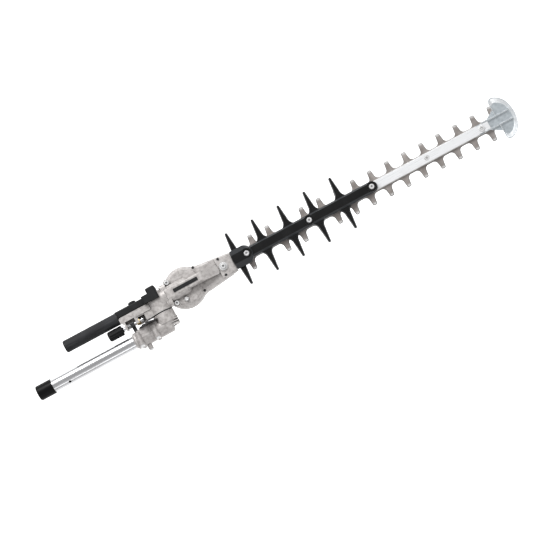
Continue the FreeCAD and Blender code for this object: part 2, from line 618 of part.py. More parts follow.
def handle_grip():
    outer = rod(X_AXIS, V(77, 51.8, 0), 107.3, 11.5)
    outer = outer.makeFillet(2.8, end_circles(outer, X_AXIS, 77))
    return outer.cut(rod(X_AXIS, V(91.5, 51.8, 0), 100, 7.0))


def latch_knob():
    """Ribbed pull knob: a core with straight ribs and a short neck on the rod's rear end."""
    start = V(KNOB_REAR_X, LATCH_Y, LATCH_Z)
    core = rod(X_AXIS, start, KNOB_LENGTH - 2.0, 8.6)
    core = core.makeFillet(2.2, end_circles(core, X_AXIS, start.x))
    ribs = []
    count = 14
    for index in range(count):
        rib = box(start.x + 2.5, start.x + 28.0, LATCH_Y - 0.9, LATCH_Y + 0.9, LATCH_Z + 7, LATCH_Z + 9.4)
        rib = round_edges(rib, X_AXIS, 0.5, lambda c: c.z > LATCH_Z + 9)
        rib.rotate(start, X_AXIS, 360.0 * index / count)
        ribs.append(rib)
    neck = rod(X_AXIS, start + V(KNOB_LENGTH - 2.0, 0, 0), 2.0, 5.0)
    body = core.multiFuse(ribs + [neck])
    return body.cut(rod(X_AXIS, start + V(KNOB_BORE_DEPTH, 0, 0), KNOB_LENGTH, LATCH_ROD_R))


def latch_rod():
    rear_x = KNOB_REAR_X + KNOB_BORE_DEPTH
    body = rod(X_AXIS, V(rear_x, LATCH_Y, LATCH_Z), LATCH_ROD_END_X - rear_x, LATCH_ROD_R)
    body = body.makeChamfer(0.4, end_circles(body, X_AXIS, LATCH_ROD_END_X))
    groove = ring(X_AXIS, V(223.2, LATCH_Y, LATCH_Z), 1.5, LATCH_ROD_R + 1, LATCH_ROD_R - 0.8)
    return body.cut(groove)


def latch_clip():
    body = ring(X_AXIS, V(223.3, LATCH_Y, LATCH_Z), 1.3, 5.6, LATCH_ROD_R - 0.78)
    gap = box(222, 226, LATCH_Y - 8, LATCH_Y, LATCH_Z - 1.6, LATCH_Z + 1.6)
    return body.cut(gap)


def latch_pawl():
    """Pawl on the rod; its foot reaches down to the sector and enters a notch."""
    tip_x = PIVOT_X - SECTOR_R - PAWL_GAP
    clamp = box(200.6, 207.4, 24.0, 34.0, -1.6, 9.4)
    clamp = round_edges(clamp, X_AXIS, 2.5, lambda c: c.z > 5)
    shin = box(200.6, 207.4, 15.0, 26.0, -2.8, 2.8)
    foot = box(200.6, tip_x, 15.0, 16.9, -2.8, 2.8)
    body = fuse(clamp, shin, foot)
    return body.cut(rod(X_AXIS, V(190, LATCH_Y, LATCH_Z), 30, LATCH_ROD_R))


def latch_bush():
    body = ring(X_AXIS, V(212.0, LATCH_Y, LATCH_Z), 5.6, 5.5, LATCH_ROD_R + 0.05)
    return body.fuse(ring(X_AXIS, V(217.6, LATCH_Y, LATCH_Z), 1.2, 6.6, LATCH_ROD_R + 0.05)).removeSplitter()


def latch_spring():
    """Compression spring between the arm's rear wall and the pawl."""
    wire_r, coil_r, start, length = 0.45, 4.6, 194.2, 5.9
    helix = Part.makeHelix(length / 4, length, coil_r)
    section = Part.Wire([Part.Circle(V(coil_r, 0, 0), Y_AXIS, wire_r).toShape()])
    coil = Part.Wire(helix).makePipeShell([section], True, True)
    coil.Placement = FreeCAD.Placement(V(start, LATCH_Y, LATCH_Z), FreeCAD.Rotation(Z_AXIS, X_AXIS))
    return coil


# --- cutter bar ---
def tooth_path(inset, side, centre_x):
    """Half outline points of one tooth from valley to valley, y measured from the bar's axis."""
    tip_half, root_half, fillet = TOOTH_TIP_HALF - inset, 6.5 - inset, 7.6 + inset
    base_y, tip_y, corner = SPINE_HALF - inset, TOOTH_TIP_Y - inset, TOOTH_CORNER - inset
    lean = math.atan2(root_half - tip_half, tip_y - base_y)
    reach = fillet * math.tan((math.pi / 2 - lean) / 2)
    along = V(-math.sin(lean), math.cos(lean), 0)
    root = V(root_half, base_y, 0)
    start = root + V(reach, 0, 0)
    end = root + along * reach
    centre = start + V(0, fillet, 0)
    middle = centre + (root - centre).normalize() * fillet
    tip = V(tip_half, tip_y, 0)
    turn = corner * math.tan((math.pi / 2 + lean) / 2)
    tip_start = tip - along * turn
    tip_end = tip - V(turn, 0, 0)
    tip_centre = tip_end - V(0, corner, 0)
    tip_middle = tip_centre + (tip - tip_centre).normalize() * corner
    points = [start, middle, end, tip_start, tip_middle, tip_end]
    return [V(centre_x + p.x, BLADE_Y + side * p.y, 0) for p in points]


def blade_outline(inset, z, rear_x):
    """Closed outline of a double sided blade with rounded teeth and valleys."""
    front_x = UPPER_SIDE_TOOTH_X + TOOTH_PITCH * (TOOTH_COUNT - 1) + 9.0 - inset
    rear_x = rear_x + inset
    half = SPINE_HALF - inset
    lift = V(0, 0, z)
    edges = []
    last = V(rear_x, BLADE_Y + half, 0)
    first = last
    for side, first_x in ((1, UPPER_SIDE_TOOTH_X), (-1, LOWER_SIDE_TOOTH_X)):
        order = range(TOOTH_COUNT) if side == 1 else range(TOOTH_COUNT - 1, -1, -1)
        for index in order:
            centre_x = first_x + index * TOOTH_PITCH
            right = tooth_path(inset, side, centre_x)
            left = [V(2 * centre_x - p.x, p.y, 0) for p in right]
            near, far = (left, right) if side == 1 else (right, left)
            start, middle, end, tip_start, tip_middle, tip_end = near
            far_start, far_middle, far_end, far_tip_start, far_tip_middle, far_tip_end = far
            edges.append(Part.makeLine(last + lift, start + lift))
            edges.append(Part.Arc(start + lift, middle + lift, end + lift).toShape())
            edges.append(Part.makeLine(end + lift, tip_start + lift))
            edges.append(Part.Arc(tip_start + lift, tip_middle + lift, tip_end + lift).toShape())
            edges.append(Part.makeLine(tip_end + lift, far_tip_end + lift))
            edges.append(Part.Arc(far_tip_end + lift, far_tip_middle + lift, far_tip_start + lift).toShape())
            edges.append(Part.makeLine(far_tip_start + lift, far_end + lift))
            edges.append(Part.Arc(far_end + lift, far_middle + lift, far_start + lift).toShape())
            last = far_start
        if side == 1:
            corners = [V(front_x, BLADE_Y + half, 0), V(front_x, BLADE_Y - half, 0)]
            for corner in corners:
                if (corner - last).Length > 0.01:
                    edges.append(Part.makeLine(last + lift, corner + lift))
                    last = corner
    corner = V(rear_x, BLADE_Y - half, 0)
    edges.append(Part.makeLine(last + lift, corner + lift))
    edges.append(Part.makeLine(corner + lift, first + lift))
    return Part.Wire(edges)


BAR_BOLT_X = [BOLT_ONE_X, BOLT_ONE_X + BOLT_PITCH, BOLT_ONE_X + 2 * BOLT_PITCH, 811.0, 923.0]
BOLT_SLEEVE_R = 4.2
BLADE_BOLT_SEATS = [(BAR_BOLT_X[0], -2.5), (BAR_BOLT_X[1], -6.6), (BAR_BOLT_X[2], -6.6)]
BOLT_HEAD_DEPTH = 3.0
GUARD_LOW_Z = -13.4
GUARD_SEATS = [(x, seat + BOLT_HEAD_DEPTH) for x, seat in BLADE_BOLT_SEATS]
CLAMP_BOLT_X = 396.2


def blade(z0, upper, rear_x):
    """Blade with ground edges on its outer face and a slot for each bolt sleeve."""
    z1 = z0 + BLADE_THICK
    land = 0.9
    if upper:
        flat = Part.Face(blade_outline(0, z0, rear_x)).extrude(V(0, 0, land))
        bevel = Part.makeLoft([blade_outline(0, z0 + land, rear_x), blade_outline(BLADE_GRIND, z1, rear_x)],
                              True, True)
    else:
        flat = Part.Face(blade_outline(0, z1 - land, rear_x)).extrude(V(0, 0, land))
        bevel = Part.makeLoft([blade_outline(BLADE_GRIND, z0, rear_x), blade_outline(0, z1 - land, rear_x)],
                              True, True)
    body = flat.fuse(bevel).removeSplitter()
    travel = -STROKE if upper else STROKE
    for x in [CLAMP_BOLT_X] + BAR_BOLT_X:
        low, high = sorted((x, x + travel))
        slot = box(low, high, BLADE_Y - BOLT_SLEEVE_R - 0.3, BLADE_Y + BOLT_SLEEVE_R + 0.3, z0 - 1, z1 + 1)
        ends = [rod(Z_AXIS, V(end, BLADE_Y, z0 - 1), 4.5, BOLT_SLEEVE_R + 0.3) for end in (low, high)]
        body = body.cut(fuse(slot, *ends))
    return body


ROD_PIN_UPPER_X = CRANK_X - ECCENTRICITY + ROD_LENGTH
ROD_PIN_LOWER_X = CRANK_X + ECCENTRICITY + ROD_LENGTH


def blade_upper():
    body = blade(UPPER_BLADE_Z, True, ROD_PIN_UPPER_X - 9.5)
    pin = rod(Z_AXIS, V(ROD_PIN_UPPER_X, BLADE_Y, UPPER_BLADE_Z + BLADE_THICK - 1), 1.4, 4.0)
    return body.fuse(pin).removeSplitter()


def blade_lower():
    body = blade(LOWER_BLADE_Z, False, ROD_PIN_LOWER_X - 9.5)
    pin = rod(Z_AXIS, V(ROD_PIN_LOWER_X, BLADE_Y, LOWER_BLADE_Z - 0.5), 1.4, 4.0)
    return body.fuse(pin).removeSplitter()


def guide_bar():
    body = box(389.5, BAR_END_X, BLADE_Y - BAR_HALF, BLADE_Y + BAR_HALF, BAR_BOTTOM_Z, BAR_TOP_Z)
    top = [e for e in edges_along(body, X_AXIS) if e.CenterOfMass.z > BAR_TOP_Z - 0.1]
    body = body.makeChamfer(1.0, top)
    for x in BAR_BOLT_X:
        body = body.cut(rod(Z_AXIS, V(x, BLADE_Y, -30), 30, BOLT_SLEEVE_R + 0.02))
    body = body.cut(rod(Z_AXIS, V(BAR_BOLT_X[3], BLADE_Y, BAR_TOP_Z - 1.4), 3, 4.6))
    tongue_room = box(900, BAR_END_X + 1, 0, 100, BAR_BOTTOM_Z - 1, -16.6)
    side_room = [box(915, BAR_END_X + 1, BLADE_Y + 7.4, 100, -30, 0)]
    side_room.append(side_room[0].mirror(V(0, BLADE_Y, 0), Y_AXIS))
    body = body.cut(fuse(tongue_room, *side_room))
    return body.cut(rod(Z_AXIS, V(CLAMP_BOLT_X, BLADE_Y, -30), 30, 4.05))


def backing_strip():
    body = box(389.5, 936.0, BLADE_Y - BAR_HALF, BLADE_Y + BAR_HALF, STRIP_TOP_Z - STRIP_THICK, STRIP_TOP_Z)
    body = round_edges(body, Z_AXIS, 3.0, lambda c: c.x > 900)
    for x in BAR_BOLT_X + [CLAMP_BOLT_X]:
        body = body.cut(rod(Z_AXIS, V(x, BLADE_Y, -30), 30, 4.05))
    return body


def bolt_sleeve(x):
    top = BAR_TOP_Z - 1.5
    return ring(Z_AXIS, V(x, BLADE_Y, STRIP_TOP_Z), top - STRIP_TOP_Z, BOLT_SLEEVE_R, 3.05)


def bar_nut(x):
    nut = Part.Face(Part.makePolygon([
        V(x + 6.3 * math.cos(math.radians(60 * k)), BLADE_Y + 6.3 * math.sin(math.radians(60 * k)),
          STRIP_TOP_Z - STRIP_THICK - 5.0) for k in range(7)])).extrude(V(0, 0, 5.0))
    return nut.cut(rod(Z_AXIS, V(x, BLADE_Y, -40), 30, 3.0))


def fin(centre_x, flared):
    """Half a pair of guard fins: a tapering finger with a rounded tip, a wide root and two grooves."""
    low, edge, top = -17.2, -12.5, -9.0
    tip_y = FIN_TIP_Y - 2.8
    root, waist, neck, end = (9.0, 15.0), (13.4, 8.9), (23.0, 5.5), (tip_y, 2.8)
    if not flared:
        root, waist = (9.0, 7.0), (16.0, 6.0)

    def outline(inset, z):
        def at(side, spot):
            return V(centre_x + side * (spot[1] - inset), BLADE_Y + spot[0], z)

        crest = V(centre_x, BLADE_Y + FIN_TIP_Y - inset, z)
        return Part.Wire([
            Part.Arc(at(1, root), at(1, waist), at(1, neck)).toShape(),
            Part.makeLine(at(1, neck), at(1, end)),
            Part.Arc(at(1, end), crest, at(-1, end)).toShape(),
            Part.makeLine(at(-1, end), at(-1, neck)),
            Part.Arc(at(-1, neck), at(-1, waist), at(-1, root)).toShape(),
            Part.makeLine(at(-1, root), at(1, root))])

    slab = Part.Face(outline(0, low)).extrude(V(0, 0, edge - low))
    roof = Part.makeLoft([outline(0, edge), outline(1.5, top)], True, True)
    groove = box(centre_x + 1.5, centre_x + 2.7, BLADE_Y + 13, BLADE_Y + 30, top - 1.6, top + 1)
    grooves = [groove, groove.mirror(V(centre_x, 0, 0), X_AXIS)]
    return slab.fuse(roof).removeSplitter().cut(fuse(*grooves))


def guard():
    """Plastic tooth guard on the guide bar: start block, bar with sloped sides and fin pairs."""
    end_x = BOLT_ONE_X + 2 * BOLT_PITCH
    half = 10.6
    lower_half = [(half, GUARD_LOW_Z), (half, -9.5), (7.0, -5.0)]
    section = lower_half + [(-y, z) for y, z in reversed(lower_half)]
    wire = Part.makePolygon([V(449, BLADE_Y + y, z) for y, z in section + section[:1]])
    bar = Part.Face(wire).extrude(V(end_x - 449, 0, 0))
    base = fuse(
        Part.makeCone(half, half - 0.01, 4.0, V(end_x, BLADE_Y, GUARD_LOW_Z), Z_AXIS),
        Part.makeCone(half - 0.01, 7.0, 4.4, V(end_x, BLADE_Y, GUARD_LOW_Z + 4.0), Z_AXIS))
    block = guard_block()
    fins = []
    for index in range(FIN_COUNT):
        fins += both_sides(fin(FIRST_FIN_X + index * FIN_PITCH, index > 0))
    bosses = [rod(Z_AXIS, V(x, BLADE_Y, -9.5), top + 9.5, 9.3) for x, top in GUARD_SEATS]
    body = fuse(bar, base, block, *fins, *bosses)
    side_room = box(385, end_x + 30, BLADE_Y - BAR_HALF - 0.05, BLADE_Y + BAR_HALF + 0.05, -30, GUARD_LOW_Z)
    body = body.cut(side_room)
    for x, top in GUARD_SEATS:
        body = body.cut(rod(Z_AXIS, V(x, BLADE_Y, top - BOLT_HEAD_DEPTH), 20, 7.3))
        body = body.cut(rod(Z_AXIS, V(x, BLADE_Y, -20), 30, 3.1))
    return body


def guard_block():
    """Raised start block: dark flat top, sloped shoulders and rounded front corners."""
    low, top = GUARD_LOW_Z, GUARD_SEATS[0][1]
    half, top_half = 17.6, 8.4

    def outline(x0, x1, h, z, bow):
        corner = min(14.0, h * 0.8)
        points = [V(x0 + bow, BLADE_Y - h, z), V(x0, BLADE_Y, z), V(x0 + bow, BLADE_Y + h, z)]
        edges = [Part.Arc(*points).toShape()]
        front_high = V(x1 - corner, BLADE_Y + h, z)
        front_low = V(x1 - corner, BLADE_Y - h, z)
        edges.append(Part.makeLine(points[2], front_high))
        edges.append(Part.Arc(front_high, V(x1, BLADE_Y, z), front_low).toShape())
        edges.append(Part.makeLine(front_low, points[0]))
        return Part.Wire(edges)

    skirt = Part.Face(outline(415.0, 456.0, half, low, 2.4)).extrude(V(0, 0, 7.4))
    crown = Part.makeLoft([outline(415.0, 456.0, half, low + 7.4, 2.4),
                           outline(415.8, 454.0, top_half, top, 1.2)], True, True)
    over_case = box(400, 420.6, 0, 100, low - 1, -7.9)
    return fuse(skirt, crown).cut(over_case)


def flange_bolt(x, seat_z):
    """Bolt through guard, bar, blades and strip, with a washer flange under its head."""
    flange = Part.makeCone(6.2, 4.6, 1.6, V(x, BLADE_Y, seat_z), Z_AXIS)
    length = seat_z - (STRIP_TOP_Z - STRIP_THICK - 6.0)
    screw = socket_screw(V(x, BLADE_Y, seat_z + 1.0), Z_AXIS, 4.6, 3.2, 3.0, length + 1.0)
    return screw.fuse(flange).removeSplitter()


def blade_bolts():
    return [flange_bolt(x, seat) for x, seat in BLADE_BOLT_SEATS]


def bar_screw(x, seat_z, head_r):
    length = seat_z - (STRIP_TOP_Z - STRIP_THICK - 6.0)
    return socket_screw(V(x, BLADE_Y, seat_z), Z_AXIS, head_r, 2.0, 3.0, length)


def bar_screws():
    """A sunk screw on the bare bar, and a wide headed one that holds the tip shoe."""
    sunk = bar_screw(BAR_BOLT_X[3], BAR_TOP_Z - 1.4, 4.4)
    return [sunk, bar_screw(BAR_BOLT_X[4], BAR_TOP_Z, 5.6)]


# --- tip shoe ---
SHOE_CENTRE_X = 961.0
SHOE_REAR_X = 954.6
SHOE_LENGTH = 28.2
SHOE_HALF_WIDTH = 41.4
SHOE_RIM_RUN = 5.5
SHOE_FLOOR_Z = -18.4
SHOE_RIM_Z = -11.0
SHEET = 1.6


def shoe_outline(inset, z):
    """D shaped outline: half ellipse in front, rounded rear corners and a straight back."""
    a, b = SHOE_LENGTH - inset, SHOE_HALF_WIDTH - 1.7 * inset
    rear = SHOE_REAR_X + inset * 0.45
    start_angle = math.radians(82)

    def on_ellipse(angle):
        return V(SHOE_CENTRE_X + a * math.cos(angle), BLADE_Y + b * math.sin(angle), z)

    top, bottom = on_ellipse(start_angle), on_ellipse(-start_angle)
    arc_one = Part.Arc(bottom, on_ellipse(-start_angle * 0.55), on_ellipse(-start_angle * 0.3)).toShape()
    arc_two = Part.Arc(on_ellipse(-start_angle * 0.3), on_ellipse(0), on_ellipse(start_angle * 0.3)).toShape()
    arc_three = Part.Arc(on_ellipse(start_angle * 0.3), on_ellipse(start_angle * 0.55), top).toShape()
    upper_corner = V(rear, BLADE_Y + b - 10.0, z)
    lower_corner = V(rear, BLADE_Y - b + 10.0, z)
    middle_high = V(rear + 2.2, BLADE_Y + b - 2.6, z)
    middle_low = V(rear + 2.2, BLADE_Y - b + 2.6, z)
    return Part.Wire([arc_one, arc_two, arc_three,
                      Part.Arc(top, middle_high, upper_corner).toShape(),
                      Part.makeLine(upper_corner, lower_corner),
                      Part.Arc(lower_corner, middle_low, bottom).toShape()])


def tip_shoe():
    """Pressed sheet shoe over the blade tips, with a turned up rim and a channel for the bar."""
    def bowl(lift):
        floor = shoe_outline(SHOE_RIM_RUN, SHOE_FLOOR_Z + lift)
        return Part.makeLoft([floor, shoe_outline(0, SHOE_RIM_Z + lift)], True, True)

    dish = bowl(0).cut(bowl(SHEET))
    half = 9.4
    tongue = box(905, 970, BLADE_Y - half, BLADE_Y + half, SHOE_FLOOR_Z, SHOE_FLOOR_Z + SHEET)
    wall = box(917, 981, BLADE_Y + half - 1.7, BLADE_Y + half, SHOE_FLOOR_Z, -12.6)
    nose = box(905, 925, BLADE_Y, BLADE_Y + 20, -30, 0)
    nose.rotate(V(917, BLADE_Y, SHOE_FLOOR_Z), Y_AXIS, 35)
    wall = wall.cut(nose.translated(V(-4, 0, 0)))
    web_end = SHOE_REAR_X + 3
    web = prism([(936, BLADE_Y + half), (web_end, BLADE_Y + 22), (web_end, BLADE_Y + half - 2),
                 (936, BLADE_Y + half - 2)], SHOE_FLOOR_Z, SHOE_FLOOR_Z + SHEET)
    channel_room = box(917, 979.5, BLADE_Y - half + 1.7, BLADE_Y + half - 1.7, SHOE_FLOOR_Z + SHEET, 0)
    body = fuse(dish, tongue, *both_sides(wall), *both_sides(web)).cut(channel_room)
    return body.cut(rod(Z_AXIS, V(BAR_BOLT_X[4], BLADE_Y, -30), 30, BOLT_SLEEVE_R + 0.02))


# --- build and write every node ---
def main():
    os.makedirs("parts", exist_ok=True)
    left, right = split_pole_case()
    crank_centre = V(CRANK_X, BLADE_Y, 0)
    washer_bolt, washer = clamp_bolt()
    side_bolt, end_bolt = handle_bolts()

    save("pole_tube", pole_tube())
    save("shaft_bushes", shaft_bush(34), shaft_bush(112), shaft_bush(186))
    save("end_cap", end_cap())
    save("pole_case_left", left)
    save("pole_case_right", right)
    save("pole_case_screws", *case_screws())
    save("tube_locating_screw", locating_screw())
    save("index_sector", index_sector())
    save("sector_screws", sector_screw(-9.0), sector_screw(9.0))
    save("input_bearing", bearing(X_AXIS, V(TUBE_END_X + 1, 0, 0), 7.0, 11.0, SHAFT_R))
    save("pivot_bearings", bearing(Y_AXIS, V(PIVOT_X, 16.0, 0), 6.0, 10.5, 4.5),
         bearing(Y_AXIS, V(PIVOT_X, 24.5, 0), 6.0, 10.5, 4.5))
    save("pivot_retaining_ring", retaining_ring())
    save("pivot_seal", ring(Y_AXIS, V(PIVOT_X, JOINT_FACE_Y, 0), 2.3, HUB_R - 0.9, SPIGOT_R))

    save("drive_shaft", drive_shaft())
    save("input_pinion", input_pinion())
    save("pivot_shaft", rod(Y_AXIS, V(PIVOT_X, 6.2, 0), BLADE_Y - 12.4, 4.5))
    save("pivot_gear_pole", pivot_gear_pole())
    save("pivot_gear_head", pivot_gear_head())
    save("lay_shaft", rod(X_AXIS, V(PIVOT_X + 6.2, BLADE_Y, 0), CRANK_X - PIVOT_X - 6.2 - 18.5, 4.5))
    save("lay_gear", lay_gear())
    save("lay_pinion", lay_pinion())
    save("lay_bearing", bearing(X_AXIS, V(HEAD_JOINT_X - 0.6, BLADE_Y, 0), 5.2, 11.0, 4.5))
    save("crank_gear", crank_gear())
    save("crank_bearings", bearing(Z_AXIS, crank_centre + V(0, 0, -2.8), 6.0, 11.0, CRANK_SHAFT_R),
         bearing(Z_AXIS, crank_centre + V(0, 0, -33.4), 5.2, 13.0, CRANK_SHAFT_R))
    save("connecting_rod_upper", connecting_rod(-1, -18.0))
    save("connecting_rod_lower", connecting_rod(1, -27.5))

    save("hub_case", hub_case())
    save("head_case_upper", head_case_upper())
    save("head_case_lower", head_case_lower())
    save("hub_bolts", *hub_bolts())
    save("head_case_screws", *small_case_screws())
    save("rear_case_bolts", *rear_case_bolts())
    save("clamp_bolt", washer_bolt)
    save("clamp_washer", washer)
    save("name_plate", name_plate())
    save("grease_nipple", grease_nipple())
    save("handle_bracket", handle_bracket())
    save("handle_bolts", side_bolt, end_bolt)
    save("handle_grip", handle_grip())
    save("latch_bush", latch_bush())
    save("latch_knob", latch_knob())
    save("latch_rod", latch_rod())
    save("latch_pawl", latch_pawl())
    save("latch_clip", latch_clip())
    save("latch_spring", latch_spring())

    save("guide_bar", guide_bar())
    save("backing_strip", backing_strip())
    save("bolt_sleeves", *[bolt_sleeve(x) for x in BAR_BOLT_X])
    save("bar_nuts", *[bar_nut(x) for x in BAR_BOLT_X])
    save("tooth_guard", guard())
    save("blade_bolts", *blade_bolts())
    save("bar_screws", *bar_screws())
    save("blade_upper", blade_upper())
    save("blade_lower", blade_lower())
    save("tip_shoe", tip_shoe())


main()
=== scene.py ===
import json
import math

import bpy
from mathutils import Matrix, Vector


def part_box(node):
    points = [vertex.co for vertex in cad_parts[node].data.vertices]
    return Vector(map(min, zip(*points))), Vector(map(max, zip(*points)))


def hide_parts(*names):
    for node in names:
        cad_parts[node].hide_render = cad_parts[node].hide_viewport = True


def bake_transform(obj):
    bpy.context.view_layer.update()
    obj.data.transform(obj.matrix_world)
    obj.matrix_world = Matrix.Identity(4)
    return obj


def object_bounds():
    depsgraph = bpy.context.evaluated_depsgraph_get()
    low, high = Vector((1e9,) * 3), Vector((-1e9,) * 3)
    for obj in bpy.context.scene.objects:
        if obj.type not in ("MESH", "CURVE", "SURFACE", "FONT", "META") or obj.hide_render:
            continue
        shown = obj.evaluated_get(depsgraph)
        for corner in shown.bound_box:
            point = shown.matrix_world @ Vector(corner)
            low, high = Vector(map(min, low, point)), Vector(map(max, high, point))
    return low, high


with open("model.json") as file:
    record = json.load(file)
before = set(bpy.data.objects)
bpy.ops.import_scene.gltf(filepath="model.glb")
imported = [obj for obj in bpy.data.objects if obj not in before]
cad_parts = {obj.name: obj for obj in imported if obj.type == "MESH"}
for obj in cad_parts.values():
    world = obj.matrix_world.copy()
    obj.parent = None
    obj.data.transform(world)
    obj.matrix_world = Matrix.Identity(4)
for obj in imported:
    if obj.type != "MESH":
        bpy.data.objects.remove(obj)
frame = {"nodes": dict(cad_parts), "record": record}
cad_low, cad_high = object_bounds()
scene = bpy.context.scene
parts = frame["nodes"]

# The object lies along +X with its blades level; everything is in metres.
MM = 0.001
BLADE_MIDDLE = sum(corner.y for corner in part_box("guide_bar")) / 2


# --- shader building blocks ---
def node(tree, kind, inputs=None, **settings):
    """Adds one shader node; an input is a plain value or another node's output."""
    made = tree.nodes.new("ShaderNode" + kind)
    for key, value in settings.items():
        setattr(made, key, value)
    for key, value in (inputs or {}).items():
        if isinstance(value, bpy.types.NodeSocket):
            tree.links.new(value, made.inputs[key])
        else:
            made.inputs[key].default_value = value
    return made


class Finish:
    """One procedural material, measured in the object's own coordinates."""

    def __init__(self, name, metallic=0.0, specular=0.5):
        self.material = bpy.data.materials.new(name)
        self.material.use_nodes = True
        self.tree = self.material.node_tree
        self.shader = self.tree.nodes["Principled BSDF"]
        self.place = node(self.tree, "TexCoord").outputs["Object"]
        self.shader.inputs["Metallic"].default_value = metallic
        self.shader.inputs["Specular IOR Level"].default_value = specular
        self.normal = None

    def grain(self, scale, detail=3.0, stretch=(1, 1, 1), rough=0.5):
        """Noise from 0 to 1 with the given number of features per metre along each axis."""
        spread = node(self.tree, "Mapping", {"Vector": self.place, "Scale": stretch}).outputs["Vector"]
        made = node(self.tree, "TexNoise", {"Vector": spread, "Scale": scale, "Detail": detail,
                                            "Roughness": rough})
        return made.outputs["Fac"]

    def cells(self, scale):
        """Distance from the middle of each of many small cells."""
        return node(self.tree, "TexVoronoi", {"Vector": self.place, "Scale": scale}).outputs["Distance"]

    def remap(self, value, low, high, to_low=0.0, to_high=1.0):
        return node(self.tree, "MapRange", {"Value": value, "From Min": low, "From Max": high,
                                            "To Min": to_low, "To Max": to_high}).outputs["Result"]

    def math(self, operation, one, two):
        return node(self.tree, "Math", {0: one, 1: two}, operation=operation).outputs["Value"]

    def mix(self, factor, one, two):
        """Colour between two colours, each a triple or a socket."""
        made = node(self.tree, "Mix", {"Factor": factor}, data_type="RGBA")
        for index, colour in ((6, one), (7, two)):
            if isinstance(colour, bpy.types.NodeSocket):
                self.tree.links.new(colour, made.inputs[index])
            else:
                made.inputs[index].default_value = (*colour, 1.0)
        return made.outputs[2]

    def colour(self, value):
        self.tree.links.new(value, self.shader.inputs["Base Color"])

    def roughness(self, value):
        self.tree.links.new(value, self.shader.inputs["Roughness"])

    def relief(self, height, depth, strength):
        """Adds one layer of fine relief, depth in metres."""
        inputs = {"Height": height, "Distance": depth, "Strength": strength}
        if self.normal:
            inputs["Normal"] = self.normal
        self.normal = node(self.tree, "Bump", inputs).outputs["Normal"]
        self.tree.links.new(self.normal, self.shader.inputs["Normal"])

    def worn_and_highlit_edges(self, radius):
        """Mask for edges painted paler, partly as wear and partly as painted highlight: 1 on convex and
        concave edges, 0 on open faces.
        """
        rounded = node(self.tree, "Bevel", {"Radius": radius}, samples=4).outputs["Normal"]
        flat = node(self.tree, "NewGeometry").outputs["Normal"]
        same = node(self.tree, "VectorMath", {0: rounded, 1: flat}, operation="DOT_PRODUCT").outputs["Value"]
        return self.remap(same, 0.991, 0.94)

    def painted_recess_shade(self, reach):
        """Mask for painted shade: 1 deep in corners, holes and sockets, 0 on open faces."""
        open_sky = node(self.tree, "AmbientOcclusion", {"Distance": reach}, samples=6).outputs["AO"]
        return self.remap(open_sky, 0.75, 0.25)

    def sloped(self, level=0.985, steep=0.93):
        """0 on faces square to the object's Z axis, 1 on its bevels and sides."""
        facing = node(self.tree, "TexCoord").outputs["Normal"]
        z = node(self.tree, "SeparateXYZ", {"Vector": facing}).outputs["Z"]
        return self.remap(self.math("ABSOLUTE", z, 0.0), level, steep)

    def beyond(self, axis, middle, start, end):
        """0 near a plane square to the axis, rising to 1 between two distances from it."""
        place = node(self.tree, "SeparateXYZ", {"Vector": self.place}).outputs[axis]
        away = self.math("ABSOLUTE", self.math("SUBTRACT", place, middle), 0.0)
        return self.remap(away, start, end)


# --- finishes ---
def cast_aluminium():
    """Bead blasted die casting: soft sparkle, faint flow marks, edges rubbed bright and painted with
    highlights, painted shade in creases and hollows.
    """
    made = Finish("cast_aluminium", metallic=0.28, specular=0.35)
    cloud = made.grain(22, 4)
    speck = made.grain(1500, 2)
    blotch = made.grain(170, 5, rough=0.65)
    base = made.mix(made.remap(cloud, 0.32, 0.7), (0.33, 0.308, 0.30), (0.44, 0.417, 0.408))
    base = made.mix(made.remap(blotch, 0.36, 0.66), base, (0.53, 0.508, 0.495))
    base = made.mix(made.remap(blotch, 0.48, 0.30, 0.0, 0.55), base, (0.25, 0.235, 0.225))
    base = made.mix(made.remap(speck, 0.35, 0.75, 0.0, 0.3), base, (0.22, 0.21, 0.20))
    # Edges painted pale, partly as wear and partly as painted highlight.
    base = made.mix(made.math("MULTIPLY", made.worn_and_highlit_edges(0.8 * MM), 0.55), base, (0.74, 0.73, 0.72))
    # Painted shade: creases, holes and hollows within 6 mm are coloured near black.
    made.colour(made.mix(made.math("MULTIPLY", made.painted_recess_shade(6 * MM), 0.85), base, (0.06, 0.053, 0.048)))
    made.roughness(made.remap(made.math("ADD", made.grain(60, 4), made.math("MULTIPLY", speck, 0.4)),
                              0.4, 1.0, 0.36, 0.56))
    made.relief(blotch, 0.35 * MM, 0.35)
    made.relief(speck, 0.12 * MM, 0.35)
    return made.material


def polished_tube():
    """Drawn and polished aluminium tube: fine lines along its length and a few rub marks."""
    made = Finish("polished_tube", metallic=1.0)
    drawn = made.grain(900, 2, (0.012, 1, 1))
    rub = made.grain(40, 5, (0.35, 1, 1))
    made.colour(made.mix(made.remap(rub, 0.45, 0.75), (0.62, 0.625, 0.64), (0.55, 0.55, 0.56)))
    made.roughness(made.remap(made.math("ADD", drawn, rub), 0.6, 1.4, 0.16, 0.28))
    made.relief(drawn, 0.02 * MM, 0.15)
    return made.material


def bar_aluminium():
    """Bright extruded bar with lengthwise drawing lines and small scuffs."""
    made = Finish("bar_aluminium", metallic=0.35, specular=0.5)
    drawn = made.grain(1100, 2, (0.01, 1, 1))
    scuff = made.grain(160, 5, (0.25, 1.4, 1))
    base = made.mix(made.remap(scuff, 0.55, 0.75), (0.79, 0.80, 0.815), (0.68, 0.68, 0.69))
    # Painted shade: the sides and chamfers are coloured darker than the top face.
    made.colour(made.mix(made.math("MULTIPLY", made.sloped(), 0.8), base, (0.47, 0.46, 0.45)))
    made.roughness(made.remap(made.math("ADD", drawn, scuff), 0.6, 1.4, 0.22, 0.42))
    made.relief(drawn, 0.03 * MM, 0.4)
    return made.material


